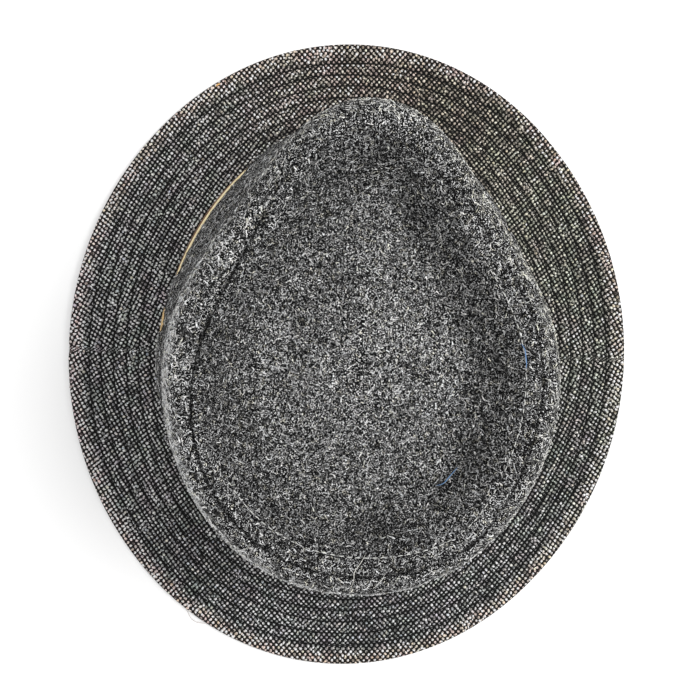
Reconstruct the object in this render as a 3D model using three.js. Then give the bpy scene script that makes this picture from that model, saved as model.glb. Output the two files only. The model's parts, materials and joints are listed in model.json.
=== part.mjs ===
// A stitched cloth trilby hat: a coarse woven brim sewn in rows, a brushed wool crown with a
// sunken teardrop tip, and a thin leather band.
//
// Millimetres, +Z up. +Y is the front of the hat and +X the wearer's right. The origin is the
// middle of the brim's outline, on the surface that the hat rests on.
//
// Every piece is cloth or leather that runs round the hat, so it is drawn as sections. A
// section stands at a turn (0 the wearer's right, 90 the front, 180 the left, 270 the back)
// and its points have a height and a reach, measured out from a short spine that lies along
// the middle of the hat. Points of one reach, at every turn, make an ellipse that is longer
// than it is wide by the spine, as a head is.

import * as THREE from 'three';

// ---------------------------------------------------------------- driving dimensions

const spine = 18; // half its length
const gap = 0.3; // between pieces that are sewn together
const stepsRound = 72; // sections in a whole turn

const brim = {
  reach: 133.5, // outer edge at the sides
  frontTrim: 1.3, // less than that in front and behind
  thickness: 3.0, // two layers of cloth and the interlining
  breakHeight: 19, // upper face where the brim meets the crown
  restWidth: 6, // outer strip that lies level
  ease: 1.5, // how the slope eases from the crown to the edge: 1 is straight
  sideLift: 4, // how far the edge rises at the wearer's left and right
  seatWidth: 0.8, // level strip outside the foot of the crown
  collarHeight: 8, // seam allowance turned up inside the crown
  collarThickness: 1.5,
  edgeRound: 1.2,
};

const crown = {
  footReach: 85.2, // outside of the wall where it stands on the brim
  wall: 2.2, // wool cloth with its fusing
  crest: 103, // top of the rim above the surface, halfway along the hat
  rise: 0.052, // climb of the crest towards the front, for each millimetre
  rimRadius: 9, // of the rolled rim
  leanEase: 1.35, // how the lean grows up the wall: 1 is straight
  allowance: 6, // seam allowance turned down inside at the tip seam
  allowanceThickness: 1.1,
};

// Reach of the outside of the rim: a mean, and what each wave round the hat adds. The third
// wave narrows the front to a teardrop.
const rimMean = 75.6;
const rimWaves = [
  { perTurn: 1, across: 1.0, along: -3.5 },
  { perTurn: 2, across: -1.0, along: -0.2 },
  { perTurn: 3, across: 0.2, along: -4.5 },
  { perTurn: 4, across: 2.2, along: 0 },
  { perTurn: 5, across: 0, along: 0.9 },
];

// Fingers have pinched the wall on each front flank, which draws the crest down above it.
const pinches = [
  { turn: 36, height: 74, depth: 4, dip: 2.5, turnSpread: 21, heightSpread: 20 },
  { turn: 144, height: 74, depth: 4, dip: 2.5, turnSpread: 21, heightSpread: 20 },
];

// The tip seam runs just inside the crest. It wanders in on the left and out behind the right.
const seamInset = 8.2; // from the outside of the rim
const seamWander = [
  { turn: 167, inset: 6.5, turnSpread: 32 },
  { turn: 310, inset: -2.8, turnSpread: 18 },
];

// The tip panel slopes from the crest to a crease, and rises again to a low island.
const tip = {
  slopeWidth: 28, // from the crest to the bottom of the crease
  creaseDepth: 17.8,
  islandDepth: 9.8, // middle of the island below the crest
  slopeRows: 6,
  islandShares: [0.85, 0.62, 0.36, 0.14], // of the crease's reach
};

const band = {
  height: 21,
  thickness: 1.3,
  rows: 3,
};

// The free end of the band, lapped over it.
const overlap = {
  from: 171, // rounded end, towards the front
  to: 189,
  margin: 0.8, // the band shows this much above and below it
  roundTurn: 5, // length of the rounded end
  steps: 9,
};

const colours = {
  weave: 0x3b3a3b,
  wool: 0x4a4a4b,
  leather: 0x9a6a3a,
};

// ---------------------------------------------------------------- surfaces

const { degToRad, lerp, euclideanModulo } = THREE.MathUtils;
const sine = (turn) => Math.sin(degToRad(turn));
const cosine = (turn) => Math.cos(degToRad(turn));

// A smooth hump that is 1 in the middle and falls away on both sides.
const hump = (distance, spread) => Math.exp(-((distance / spread) ** 2));
const turnsApart = (a, b) => euclideanModulo(a - b + 180, 360) - 180;

function place(reach, height, turn) {
  return new THREE.Vector3(reach * cosine(turn), (reach + spine) * sine(turn), height);
}

function rimReach(turn) {
  let reach = rimMean;
  for (const wave of rimWaves) {
    reach += wave.across * cosine(wave.perTurn * turn) + wave.along * sine(wave.perTurn * turn);
  }
  return reach;
}

// The crest lies in a plane that climbs towards the front, and dips above the pinches. The dip
// fades towards the middle of the hat.
function crestHeight(reach, turn) {
  let height = crown.crest + crown.rise * (reach + spine) * sine(turn);
  for (const pinch of pinches) {
    const along = hump(turnsApart(turn, pinch.turn), pinch.turnSpread);
    height -= (pinch.dip * along * reach) / rimMean;
  }
  return height;
}

function seamInsetAt(turn) {
  let inset = seamInset;
  for (const row of seamWander) {
    inset += row.inset * hump(turnsApart(turn, row.turn), row.turnSpread);
  }
  return inset;
}

function pinchDepth(turn, height) {
  let depth = 0;
  for (const pinch of pinches) {
    const along = hump(turnsApart(turn, pinch.turn), pinch.turnSpread);
    depth += pinch.depth * along * hump(height - pinch.height, pinch.heightSpread);
  }
  return depth;
}

// The circle that the rim is rolled round, and the angle at which the wall runs into it.
function rimRoll(turn) {
  const centreReach = rimReach(turn) - crown.rimRadius;
  const centreHeight = crestHeight(centreReach, turn) - crown.rimRadius;
  const leanWidth = (crown.footReach - rimReach(turn)) * crown.leanEase;
  const lean = Math.atan(leanWidth / (centreHeight - brim.breakHeight));
  return { centreReach, centreHeight, lean };
}

function rollPoint(turn, angle) {
  const { centreReach, centreHeight } = rimRoll(turn);
  return new THREE.Vector2(
    centreReach + crown.rimRadius * Math.cos(angle),
    centreHeight + crown.rimRadius * Math.sin(angle),
  );
}

// Outside of the leaning wall, from the foot of the crown up to the rolled rim.
function wallReach(turn, height) {
  const top = rollPoint(turn, rimRoll(turn).lean);
  const climb = (height - brim.breakHeight) / (top.y - brim.breakHeight);
  const lean = (top.x - crown.footReach) * Math.max(0, climb) ** crown.leanEase;
  return crown.footReach + lean - pinchDepth(turn, height);
}

// Upper face of the tip panel, by its inset from the outside of the rim.
function tipHeight(turn, inset) {
  const rim = rimReach(turn);
  const crest = crestHeight(rim - inset, turn);
  const past = inset - crown.rimRadius;
  if (past < 0) return crest - crown.rimRadius + Math.sqrt(crown.rimRadius ** 2 - past ** 2);
  const share = Math.min(1, past / tip.slopeWidth);
  return crest - tip.creaseDepth * share ** 2 * (3 - 2 * share);
}

// Upper face of the island, by its share of the crease's reach.
function islandHeight(turn, reach, share) {
  const rise = (tip.creaseDepth - tip.islandDepth) * (1 - share ** 2) ** 2;
  return crestHeight(reach, turn) - tip.creaseDepth + rise;
}

// The brim's edge lies level in front and behind, and rises at both sides.
function edgeLift(turn) {
  return brim.sideLift * Math.max(0, cosine(2 * turn)) ** 1.5;
}

// Moves an open line of points to its left by a distance.
function offsetLine(points, distance) {
  return points.map((here, i) => {
    const before = points[Math.max(0, i - 1)];
    const after = points[Math.min(points.length - 1, i + 1)];
    const along = after.clone().sub(before).normalize();
    return new THREE.Vector2(here.x - along.y * distance, here.y + along.x * distance);
  });
}

// ---------------------------------------------------------------- sections, anticlockwise

const point = (reach, height) => new THREE.Vector2(reach, height);

function brimSection(turn) {
  const outer = brim.reach - brim.frontTrim * sine(turn) ** 2;
  const lift = edgeLift(turn);
  const drop = brim.breakHeight - brim.thickness - lift;
  const upper = [0, 0.2, 0.4, 0.6, 0.8, 1].map((share) => {
    const reach = lerp(outer - brim.restWidth, crown.footReach + brim.seatWidth, share);
    return point(reach, lift + brim.thickness + drop * share ** brim.ease);
  });
  const lower = upper.map((p) => point(p.x, p.y - brim.thickness)).reverse();
  const collarTop = brim.breakHeight + brim.collarHeight;
  const collarOuter = (height) => wallReach(turn, height) - crown.wall - gap;
  const collarInner = (height) => collarOuter(height) - brim.collarThickness;
  const root = collarInner(brim.breakHeight);
  const underside = brim.breakHeight - brim.thickness;
  return [
    point(root, underside + brim.edgeRound),
    point(root + brim.edgeRound, underside),
    ...lower,
    point(outer - brim.edgeRound, lift),
    point(outer, lift + brim.edgeRound),
    point(outer, lift + brim.thickness - brim.edgeRound),
    point(outer - brim.edgeRound, lift + brim.thickness),
    ...upper,
    point(collarOuter(brim.breakHeight), brim.breakHeight),
    point(collarOuter(collarTop), collarTop),
    point(collarInner(collarTop), collarTop),
  ];
}

function crownSideSection(turn) {
  const foot = brim.breakHeight + gap;
  const { lean } = rimRoll(turn);
  const shoulder = rollPoint(turn, lean).y;
  const skin = [0, 0.13, 0.27, 0.45, 0.64, 0.82].map((share) => {
    const height = lerp(foot, shoulder, share);
    return point(wallReach(turn, height), height);
  });
  const past = seamInsetAt(turn) - crown.rimRadius;
  const seamAngle = Math.PI / 2 + Math.asin(past / crown.rimRadius);
  for (const share of [0, 0.25, 0.5, 0.75, 1]) {
    skin.push(rollPoint(turn, lerp(lean, seamAngle, share)));
  }
  const seam = skin[skin.length - 1];
  seam.y = tipHeight(turn, seamInsetAt(turn));
  const inside = offsetLine(skin, crown.wall);
  inside[0].y = foot;
  const lipInside = seam.x + crown.allowanceThickness;
  const lipFoot = seam.y - crown.wall - crown.allowance;
  inside[inside.length - 1] = point(lipInside, seam.y - crown.wall);
  return [...skin, point(seam.x, lipFoot), point(lipInside, lipFoot), ...inside.reverse()];
}

// From the middle of the under face, out and round the edge, to the middle of the upper face.
function crownTipSection(turn) {
  const rim = rimReach(turn);
  const edgeInset = seamInsetAt(turn) + gap;
  const creaseInset = crown.rimRadius + tip.slopeWidth;
  const skin = [];
  for (let row = 0; row <= tip.slopeRows; row += 1) {
    const inset = lerp(edgeInset, creaseInset, row / tip.slopeRows);
    skin.push(point(rim - inset, tipHeight(turn, inset)));
  }
  for (const share of tip.islandShares) {
    const reach = (rim - creaseInset) * share;
    skin.push(point(reach, islandHeight(turn, reach, share)));
  }
  const inside = skin.map((p) => point(p.x, p.y - crown.wall));
  inside[0].x -= crown.allowanceThickness;
  const lipFoot = inside[0].y - crown.allowance;
  const lip = [point(inside[0].x, lipFoot), point(skin[0].x, lipFoot)];
  return [...inside.reverse(), ...lip, ...skin];
}

// A strip of leather that follows the wall between two heights, a clearance outside it.
function stripSection(turn, low, high, clearance) {
  const inner = [];
  for (let row = 0; row <= band.rows; row += 1) {
    const height = lerp(low, high, row / band.rows);
    inner.push(point(wallReach(turn, height) + clearance, height));
  }
  const outer = inner.map((p) => point(p.x + band.thickness, p.y));
  return [...outer, ...inner.reverse()];
}

const bandFoot = brim.breakHeight + gap;

function bandSection(turn) {
  return stripSection(turn, bandFoot, bandFoot + band.height, gap);
}

function overlapSection(turn) {
  const middle = bandFoot + band.height / 2;
  const along = Math.min(1, (turn - overlap.from) / overlap.roundTurn);
  const rounding = 0.45 + 0.55 * Math.sqrt(1 - (1 - along) ** 2);
  const half = (band.height / 2 - overlap.margin) * rounding;
  return stripSection(turn, middle - half, middle + half, 2 * gap + band.thickness);
}

// ---------------------------------------------------------------- solids from sections

function geometryFrom(positions, triangles) {
  const geometry = new THREE.BufferGeometry();
  geometry.setFromPoints(positions);
  geometry.setIndex(triangles.flat());
  geometry.computeVertexNormals();
  return geometry;
}

// Two triangles between neighbouring points of one section and the same points of the next.
function quad(here, next, low, high) {
  return [
    [here[low], next[low], next[high]],
    [here[low], next[high], here[high]],
  ];
}

// A ring: a closed section at every turn.
function ringGeometry(sectionAt) {
  const positions = [];
  const columns = [];
  for (let step = 0; step < stepsRound; step += 1) {
    const turn = (360 * step) / stepsRound;
    columns.push(sectionAt(turn).map((p) => positions.push(place(p.x, p.y, turn)) - 1));
  }
  const triangles = [];
  columns.forEach((here, step) => {
    const next = columns[(step + 1) % stepsRound];
    here.forEach((_, i) => triangles.push(...quad(here, next, i, (i + 1) % here.length)));
  });
  return geometryFrom(positions, triangles);
}

// A dish: an open section at every turn, closed by one point under it and one on top.
function dishGeometry(sectionAt, topHeight, thickness) {
  const top = new THREE.Vector3(0, 0, topHeight);
  const positions = [new THREE.Vector3(0, 0, topHeight - thickness), top];
  const columns = [];
  for (let step = 0; step < stepsRound; step += 1) {
    const turn = (360 * step) / stepsRound;
    columns.push(sectionAt(turn).map((p) => positions.push(place(p.x, p.y, turn)) - 1));
  }
  const triangles = [];
  columns.forEach((here, step) => {
    const next = columns[(step + 1) % stepsRound];
    const last = here.length - 1;
    triangles.push([0, next[0], here[0]]);
    for (let i = 0; i < last; i += 1) triangles.push(...quad(here, next, i, i + 1));
    triangles.push([here[last], next[last], 1]);
  });
  return geometryFrom(positions, triangles);
}

// A strip: a closed section from one turn to another, with flat ends.
function stripGeometry(sectionAt, from, to, steps) {
  const positions = [];
  const columns = [];
  for (let step = 0; step <= steps; step += 1) {
    const turn = lerp(from, to, step / steps);
    columns.push(sectionAt(turn).map((p) => positions.push(place(p.x, p.y, turn)) - 1));
  }
  const triangles = [];
  for (let step = 0; step < steps; step += 1) {
    const here = columns[step];
    const next = columns[step + 1];
    here.forEach((_, i) => triangles.push(...quad(here, next, i, (i + 1) % here.length)));
  }
  const first = columns[0];
  const last = columns[steps];
  const count = first.length;
  for (let i = 0; i < count / 2 - 1; i += 1) {
    const [low, high, highInside, lowInside] = [i, i + 1, count - 2 - i, count - 1 - i];
    triangles.push([first[low], first[high], first[highInside]]);
    triangles.push([first[low], first[highInside], first[lowInside]]);
    triangles.push([last[high], last[low], last[highInside]]);
    triangles.push([last[low], last[lowInside], last[highInside]]);
  }
  return geometryFrom(positions, triangles);
}

// ---------------------------------------------------------------- the hat

function soft(color, roughness) {
  return new THREE.MeshStandardMaterial({ color, roughness, metalness: 0 });
}

function piece(name, geometry, material) {
  const mesh = new THREE.Mesh(geometry, material);
  mesh.name = name;
  return mesh;
}

const islandTop = crown.crest - tip.islandDepth;
const tipPanel = dishGeometry(crownTipSection, islandTop, crown.wall);
const lap = stripGeometry(overlapSection, overlap.from, overlap.to, overlap.steps);

const hat = new THREE.Group();
hat.add(piece('brim', ringGeometry(brimSection), soft(colours.weave, 0.95)));
hat.add(piece('crown_side', ringGeometry(crownSideSection), soft(colours.wool, 1)));
hat.add(piece('crown_tip', tipPanel, soft(colours.wool, 1)));
hat.add(piece('hatband', ringGeometry(bandSection), soft(colours.leather, 0.6)));
hat.add(piece('band_overlap', lap, soft(colours.leather, 0.6)));

export default hat;
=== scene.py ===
# A stitched cloth trilby: coarse woven brim, brushed wool crown, thin leather band.
# Shapes are worked out in millimetres and placed in metres. A turn goes round the hat:
# 0 is the wearer's right, 90 the front, 180 the left and 270 the back. A reach is measured
# out from a short spine that lies along the middle of the hat.

import json
import math

import bpy
import mathutils
import numpy as np
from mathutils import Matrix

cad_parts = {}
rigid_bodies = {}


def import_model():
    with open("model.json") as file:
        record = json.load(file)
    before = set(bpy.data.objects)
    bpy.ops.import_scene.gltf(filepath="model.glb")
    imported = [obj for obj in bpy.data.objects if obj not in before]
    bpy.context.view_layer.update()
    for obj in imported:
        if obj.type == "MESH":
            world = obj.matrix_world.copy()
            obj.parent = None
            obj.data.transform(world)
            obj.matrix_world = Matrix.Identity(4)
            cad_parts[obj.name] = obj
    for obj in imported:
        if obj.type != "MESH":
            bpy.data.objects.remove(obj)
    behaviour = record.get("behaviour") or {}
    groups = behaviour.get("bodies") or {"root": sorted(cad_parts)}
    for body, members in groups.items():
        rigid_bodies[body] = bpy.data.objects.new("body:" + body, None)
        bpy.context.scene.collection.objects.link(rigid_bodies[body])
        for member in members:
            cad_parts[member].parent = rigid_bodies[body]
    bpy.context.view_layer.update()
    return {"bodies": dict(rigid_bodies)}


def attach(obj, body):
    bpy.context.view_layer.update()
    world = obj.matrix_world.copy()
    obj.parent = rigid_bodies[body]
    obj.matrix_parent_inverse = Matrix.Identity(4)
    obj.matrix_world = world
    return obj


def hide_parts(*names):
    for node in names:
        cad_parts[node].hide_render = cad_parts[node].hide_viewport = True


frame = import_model()
body = list(frame["bodies"])[0]
print("frame loaded, body", body)

mm = 0.001
spine = 18.0  # half its length
gap = 0.3  # between pieces that are sewn together


# small helpers for shapes

def sine(turn):
    return np.sin(np.radians(turn))


def cosine(turn):
    return np.cos(np.radians(turn))


def hump(distance, spread):
    return np.exp(-((distance / spread) ** 2))


def ramp(value, low, high):
    share = np.clip((value - low) / (high - low), 0, 1)
    return share * share * (3 - 2 * share)


def turnsApart(a, b):
    return (a - b + 180) % 360 - 180


def nearTurn(turn, middle, spread):
    # 1 at one turn, and less to both sides of it
    return hump(turnsApart(turn, middle), spread)


def humpsAt(turn, humps):
    # adds up humps round the hat, each given as its turn, spread and amount
    return sum(amount * nearTurn(turn, middle, spread) for middle, spread, amount in humps)


def place(reach, height, turn):
    reach, height, turn = np.broadcast_arrays(reach, height, turn)
    return np.stack([reach * cosine(turn), (reach + spine) * sine(turn), height], -1)


def waves(x, y, size, seed, count=14):
    # a soft random field between about -1 and 1, from plane waves of one size
    rng = np.random.default_rng(seed)
    total = np.zeros(np.broadcast(x, y).shape)
    for _ in range(count):
        heading, phase = rng.uniform(0, 2 * np.pi, 2)
        length = size * rng.uniform(0.7, 1.5)
        along = x * np.cos(heading) + y * np.sin(heading)
        total += np.sin(2 * np.pi * along / length + phase)
    return total / math.sqrt(count)


def cloudsAt(x, y, clouds):
    # adds up random fields, each given as its size, seed and amount
    return sum(amount * waves(x, y, size, seed) for size, seed, amount in clouds)


# the crown's shape

crown = {
    "footReach": 85.2,  # outside of the wall where it stands on the brim
    "wall": 2.2,
    "crest": 103.0,  # top of the rim, halfway along the hat
    "rise": 0.052,  # climb of the crest towards the front
    "rimMean": 75.6,
    "rimWaves": [  # waves round the hat, across it, along it
        (1, 1.0, -3.5), (2, -1.0, -0.2), (3, 0.2, -4.5), (4, 2.2, 0.0), (5, 0.0, 0.9),
    ],
    "rimRadius": 9.0,
    "leanEase": 1.35,
    "pinchTurns": (36.0, 144.0),
    "pinchHeight": 74.0,
    "pinchDepth": 4.0,
    "pinchDip": 2.5,
    "pinchSpread": 21.0,
    "pinchTall": 20.0,
    "allowance": 6.0,
    "allowanceThickness": 1.1,
    "seamInset": 8.2,
    "seamWander": [(167.0, 32.0, 6.5), (310.0, 18.0, -2.8)],  # turn, spread, inset
    "slopeWidth": 28.0,
    "creaseDepth": 17.8,
    "islandDepth": 9.8,
}

brim = {
    "reach": 133.5,
    "frontTrim": 1.3,
    "thickness": 3.0,
    "breakHeight": 19.0,
    "restWidth": 6.0,
    "ease": 1.5,
    "sideLift": 4.0,
    "liftEase": 1.5,
    "seatWidth": 0.8,
    "collarHeight": 8.0,
    "collarThickness": 1.5,
    "edgeRound": 1.45,
    "notches": [(182.0, 0.55, 0.55)],  # in the edge at a side seam: turn, width in degrees, depth
    "firstRow": 9.3,  # outermost stitch row, in from the edge
    "rowPitch": 6.15,
    "rows": 6,
    "rowWaves": [(5, 70, 0.20), (12, 130, 0.16)],  # waves round the hat, shift from row to row, depth
    "rowDrift": [(178, 26, 0.8), (30, 45, -0.8)],  # turn, spread, inset
    "groove": 0.7,  # depth that the thread pulls the cloth down
    "grooveWidth": 0.85,
    "puff": 0.35,  # how far the cloth swells between two rows
    "puffPast": (0.9, 0.6),  # how far past the first and last row it still does, in rows
    "reliefFrom": 0.5,  # the relief starts this far in from the edge
    "reliefFade": 2.0,  # and fades over this width at the edge and at the crown
    "seamTurns": (2.0, 182.0),  # where the front and back halves are joined
    "seamGroove": 0.05,
    "seamWidth": 0.8,
}

band = {
    "height": 21.0,
    "thickness": 1.05,
    "clearance": 0.12,
    "overlapFrom": 171.0,
    "overlapTurn": 18.0,
    "margin": 0.8,
    "roundTurn": 5.0,
    "blunt": 0.45,  # share of its height that the rounded tip has at its very end
    "edgeRound": 0.25,
    "levels": 12,  # rows of points up the strap
}


def rimReach(turn):
    reach = crown["rimMean"] + 0 * turn
    for perTurn, across, along in crown["rimWaves"]:
        reach = reach + across * cosine(perTurn * turn) + along * sine(perTurn * turn)
    return reach


def crestHeight(reach, turn):
    height = crown["crest"] + crown["rise"] * (reach + spine) * sine(turn)
    for pinch in crown["pinchTurns"]:
        dip = crown["pinchDip"] * nearTurn(turn, pinch, crown["pinchSpread"])
        height = height - dip * reach / crown["rimMean"]
    return height


def seamInset(turn):
    return crown["seamInset"] + humpsAt(turn, crown["seamWander"])


def pinchAt(turn, height):
    up = hump(height - crown["pinchHeight"], crown["pinchTall"])
    return up * humpsAt(turn, [(pinch, crown["pinchSpread"], crown["pinchDepth"])
                               for pinch in crown["pinchTurns"]])


def rimRoll(turn):
    # middle of the rolled rim's section, and the angle at which the wall runs into it
    radius = crown["rimRadius"]
    centreReach = rimReach(turn) - radius
    centreHeight = crestHeight(centreReach, turn) - radius
    width = (crown["footReach"] - rimReach(turn)) * crown["leanEase"]
    return centreReach, centreHeight, np.arctan(width / (centreHeight - brim["breakHeight"]))


def rollPoint(turn, angle):
    centreReach, centreHeight, _ = rimRoll(turn)
    radius = crown["rimRadius"]
    return centreReach + radius * np.cos(angle), centreHeight + radius * np.sin(angle)


def wallReach(turn, height):
    topReach, topHeight = rollPoint(turn, rimRoll(turn)[2])
    climb = (height - brim["breakHeight"]) / (topHeight - brim["breakHeight"])
    lean = (topReach - crown["footReach"]) * np.clip(climb, 0, None) ** crown["leanEase"]
    return crown["footReach"] + lean - pinchAt(turn, height)


def tipHeight(turn, inset):
    # from the rim over its roll and down the slope, by the distance in from the rim
    crest = crestHeight(rimReach(turn) - inset, turn)
    radius = crown["rimRadius"]
    past = inset - radius
    roll = crest - radius + np.sqrt(np.clip(radius ** 2 - np.minimum(past, 0) ** 2, 0, None))
    share = np.clip(past / crown["slopeWidth"], 0, 1)
    return np.where(past < 0, roll, crest - crown["creaseDepth"] * share ** 2 * (3 - 2 * share))


def islandHeight(turn, reach, share):
    # the low island inside the crease; share is 0 in its middle and 1 at the crease
    rise = (crown["creaseDepth"] - crown["islandDepth"]) * (1 - share ** 2) ** 2
    return crestHeight(reach, turn) - crown["creaseDepth"] + rise


# the brim's shape

def brimOuter(turn):
    return brim["reach"] - brim["frontTrim"] * sine(turn) ** 2 - humpsAt(turn, brim["notches"])


def edgeLift(turn):
    return brim["sideLift"] * np.clip(cosine(2 * turn), 0, None) ** brim["liftEase"]


def rowInset(row, turn):
    # a row's distance from the edge; it is sewn by hand and eye, so it wanders a little
    inset = brim["firstRow"] + row * brim["rowPitch"] + humpsAt(turn, brim["rowDrift"])
    for perTurn, shift, depth in brim["rowWaves"]:
        inset = inset + depth * sine(perTurn * turn + shift * row)
    return inset


def besideRow(inset, turn):
    # rows counted from the outermost one, and the distance from the nearest
    counted = (inset - rowInset(0, turn)) / brim["rowPitch"]
    nearest = np.clip(np.round(counted), 0, brim["rows"] - 1)
    return counted, inset - rowInset(nearest, turn)


def stitchRelief(inset, reach, turn):
    # how far the cloth lies above (+) or below its smooth face, from the rows and side seams
    counted, off = besideRow(inset, turn)
    before, after = brim["puffPast"]
    swell = np.sin(np.pi * np.clip(counted, -before, brim["rows"] - 1 + after)) ** 2
    relief = brim["puff"] * swell - brim["groove"] * hump(off, brim["grooveWidth"])
    for seam in brim["seamTurns"]:
        aside = np.radians(turnsApart(turn, seam)) * (reach + 0.5 * spine)
        relief = relief - brim["seamGroove"] * hump(aside, brim["seamWidth"])
    return relief


def roundedEdge(reach, turn):
    # how far the brim's faces have drawn in where its edge is rounded
    radius = brim["edgeRound"]
    past = np.clip(reach - (brimOuter(turn) - radius), 0, radius)
    return radius - np.sqrt(radius ** 2 - past ** 2)


def brimTop(reach, turn, relief=True):
    outer = brimOuter(turn)
    lift = edgeLift(turn)
    drop = brim["breakHeight"] - brim["thickness"] - lift
    inner = crown["footReach"] + brim["seatWidth"]
    share = np.clip((outer - brim["restWidth"] - reach) / (outer - brim["restWidth"] - inner), 0, 1)
    height = lift + brim["thickness"] + drop * share ** brim["ease"] - roundedEdge(reach, turn)
    if relief:
        start, width = brim["reliefFrom"], brim["reliefFade"]
        fade = ramp(reach, inner, inner + width) * ramp(outer - reach, start, start + width)
        height = height + fade * stitchRelief(outer - reach, reach, turn)
    return height


# meshes from sections

def addObject(name, data):
    piece = bpy.data.objects.new(name, data)
    bpy.context.scene.collection.objects.link(piece)
    return piece


def meshFrom(name, points, faces, material, smooth=True):
    mesh = bpy.data.meshes.new(name)
    mesh.from_pydata((np.asarray(points).reshape(-1, 3) * mm).tolist(), [], faces)
    mesh.materials.append(material)
    mesh.validate()
    if smooth:
        mesh.shade_smooth()
    else:
        mesh.shade_flat()
    return addObject(name, mesh)


def quadsBetween(columns, rows, closedRound, closedUp, first=0):
    # index quads of a grid of columns (round the hat) and rows (along a section)
    here = np.arange(columns if closedRound else columns - 1)
    low = np.arange(rows if closedUp else rows - 1)
    a, i = np.meshgrid(here, low, indexing="ij")
    b, j = (a + 1) % columns, (i + 1) % rows
    quads = np.stack([a * rows + i, b * rows + i, b * rows + j, a * rows + j], -1)
    return (quads.reshape(-1, 4) + first).tolist()


def joined(turn, *parts):
    # sets parts of a section side by side; a part may be the same at every turn
    return np.concatenate([part + 0 * turn for part in parts], 1)


def ringPiece(name, reach, height, turns, material):
    points = place(reach, height, turns[:, None])
    faces = quadsBetween(points.shape[0], points.shape[1], True, True)
    return meshFrom(name, points, faces, material)


def offsetSection(reach, height, distance):
    # moves open sections to their left, as seen along the turn
    alongReach, alongHeight = np.gradient(reach, axis=1), np.gradient(height, axis=1)
    length = np.hypot(alongReach, alongHeight)
    return reach - alongHeight / length * distance, height + alongReach / length * distance


def setAttribute(piece, name, kind, values):
    key = {"FLOAT": "value", "FLOAT_VECTOR": "vector", "FLOAT_COLOR": "color"}[kind]
    attribute = piece.data.attributes.new(name, kind, "POINT")
    attribute.data.foreach_set(key, np.asarray(values, np.float32).ravel())


# materials

def newMaterial(name, roughness, specular=0.2):
    material = bpy.data.materials.new(name)
    material.use_nodes = True
    tree = material.node_tree
    shader = tree.nodes["Principled BSDF"]
    shader.inputs["Roughness"].default_value = roughness
    shader.inputs["Specular IOR Level"].default_value = specular
    return material, tree, shader


def feed(tree, value, socket):
    # a value is another node's output or a constant
    if isinstance(value, bpy.types.NodeSocket):
        tree.links.new(value, socket)
    else:
        socket.default_value = value


def addNode(tree, kind, inputs=None, **settings):
    node = tree.nodes.new(kind)
    for name, value in settings.items():
        setattr(node, name, value)
    for key, value in (inputs or {}).items():
        feed(tree, value, node.inputs[key])
    return node


def maths(tree, operation, a, b=0.0, clamp=False):
    node = addNode(tree, "ShaderNodeMath", {0: a, 1: b}, operation=operation, use_clamp=clamp)
    return node.outputs[0]


def between(tree, value, span, result=(0.0, 1.0)):
    # eases a value from one span to another
    inputs = {"Value": value, "From Min": span[0], "From Max": span[1],
              "To Min": result[0], "To Max": result[1]}
    node = addNode(tree, "ShaderNodeMapRange", inputs, interpolation_type="SMOOTHSTEP")
    return node.outputs["Result"]


def noiseOf(tree, vector, scale, detail=2.0, roughness=0.5, distortion=0.0):
    inputs = {"Vector": vector, "Scale": scale, "Detail": detail,
              "Roughness": roughness, "Distortion": distortion}
    return addNode(tree, "ShaderNodeTexNoise", inputs).outputs["Fac"]


def blend(tree, share, a, b):
    # mixes two colours; the node's sockets 0, 6 and 7 are the share and both colours
    node = addNode(tree, "ShaderNodeMix", data_type="RGBA", clamp_factor=True)
    for key, value in ((0, share), (6, a), (7, b)):
        feed(tree, value, node.inputs[key])
    return node.outputs[2]


def vectorMaths(tree, operation, a, b):
    # b is a vector, or a number where a is scaled by it
    second = "Scale" if operation == "SCALE" else 1
    node = addNode(tree, "ShaderNodeVectorMath", {0: a, second: b}, operation=operation)
    return node.outputs["Value" if operation == "DOT_PRODUCT" else "Vector"]


def objectPlace(tree):
    return addNode(tree, "ShaderNodeTexCoord").outputs["Object"]


def attributeOf(tree, name):
    return addNode(tree, "ShaderNodeAttribute", attribute_name=name)


def finishSurface(tree, shader, colour, height, strength, depth):
    # depth of the bump is in millimetres
    tree.links.new(colour, shader.inputs["Base Color"])
    inputs = {"Height": height, "Strength": strength, "Distance": depth * mm}
    bump = addNode(tree, "ShaderNodeBump", inputs)
    tree.links.new(bump.outputs["Normal"], shader.inputs["Normal"])


def grey(value, warm=0.0):
    return (value * (1 + warm), value, value * (1 - warm), 1.0)


def darkened(colour, share):
    return tuple(channel * share for channel in colour[:3]) + (1.0,)


weave = {
    "column": 1.246,  # from one warp thread to the next, mm
    "row": 1.465,  # from one weft thread to the next
    "coneShare": 0.832,  # angle of the flat cut for each degree of the finished brim
    "middle": 92.0,  # turn of the middle of the front half
    "offGrain": 1.6,  # the halves are cut a little off the grain
    "radius": 118.0,  # where the flat cut and the finished brim are equally long
    "stretch": 1.003,  # of the cloth across the brim
    "dark": grey(0.003, -0.06),
    "darkShare": 0.008,  # of the pale yarn's colour in the dark yarn
    "light": 0.66,
    "nearest": 60.0,  # no thread of the brim lies nearer to the middle
}


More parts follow.
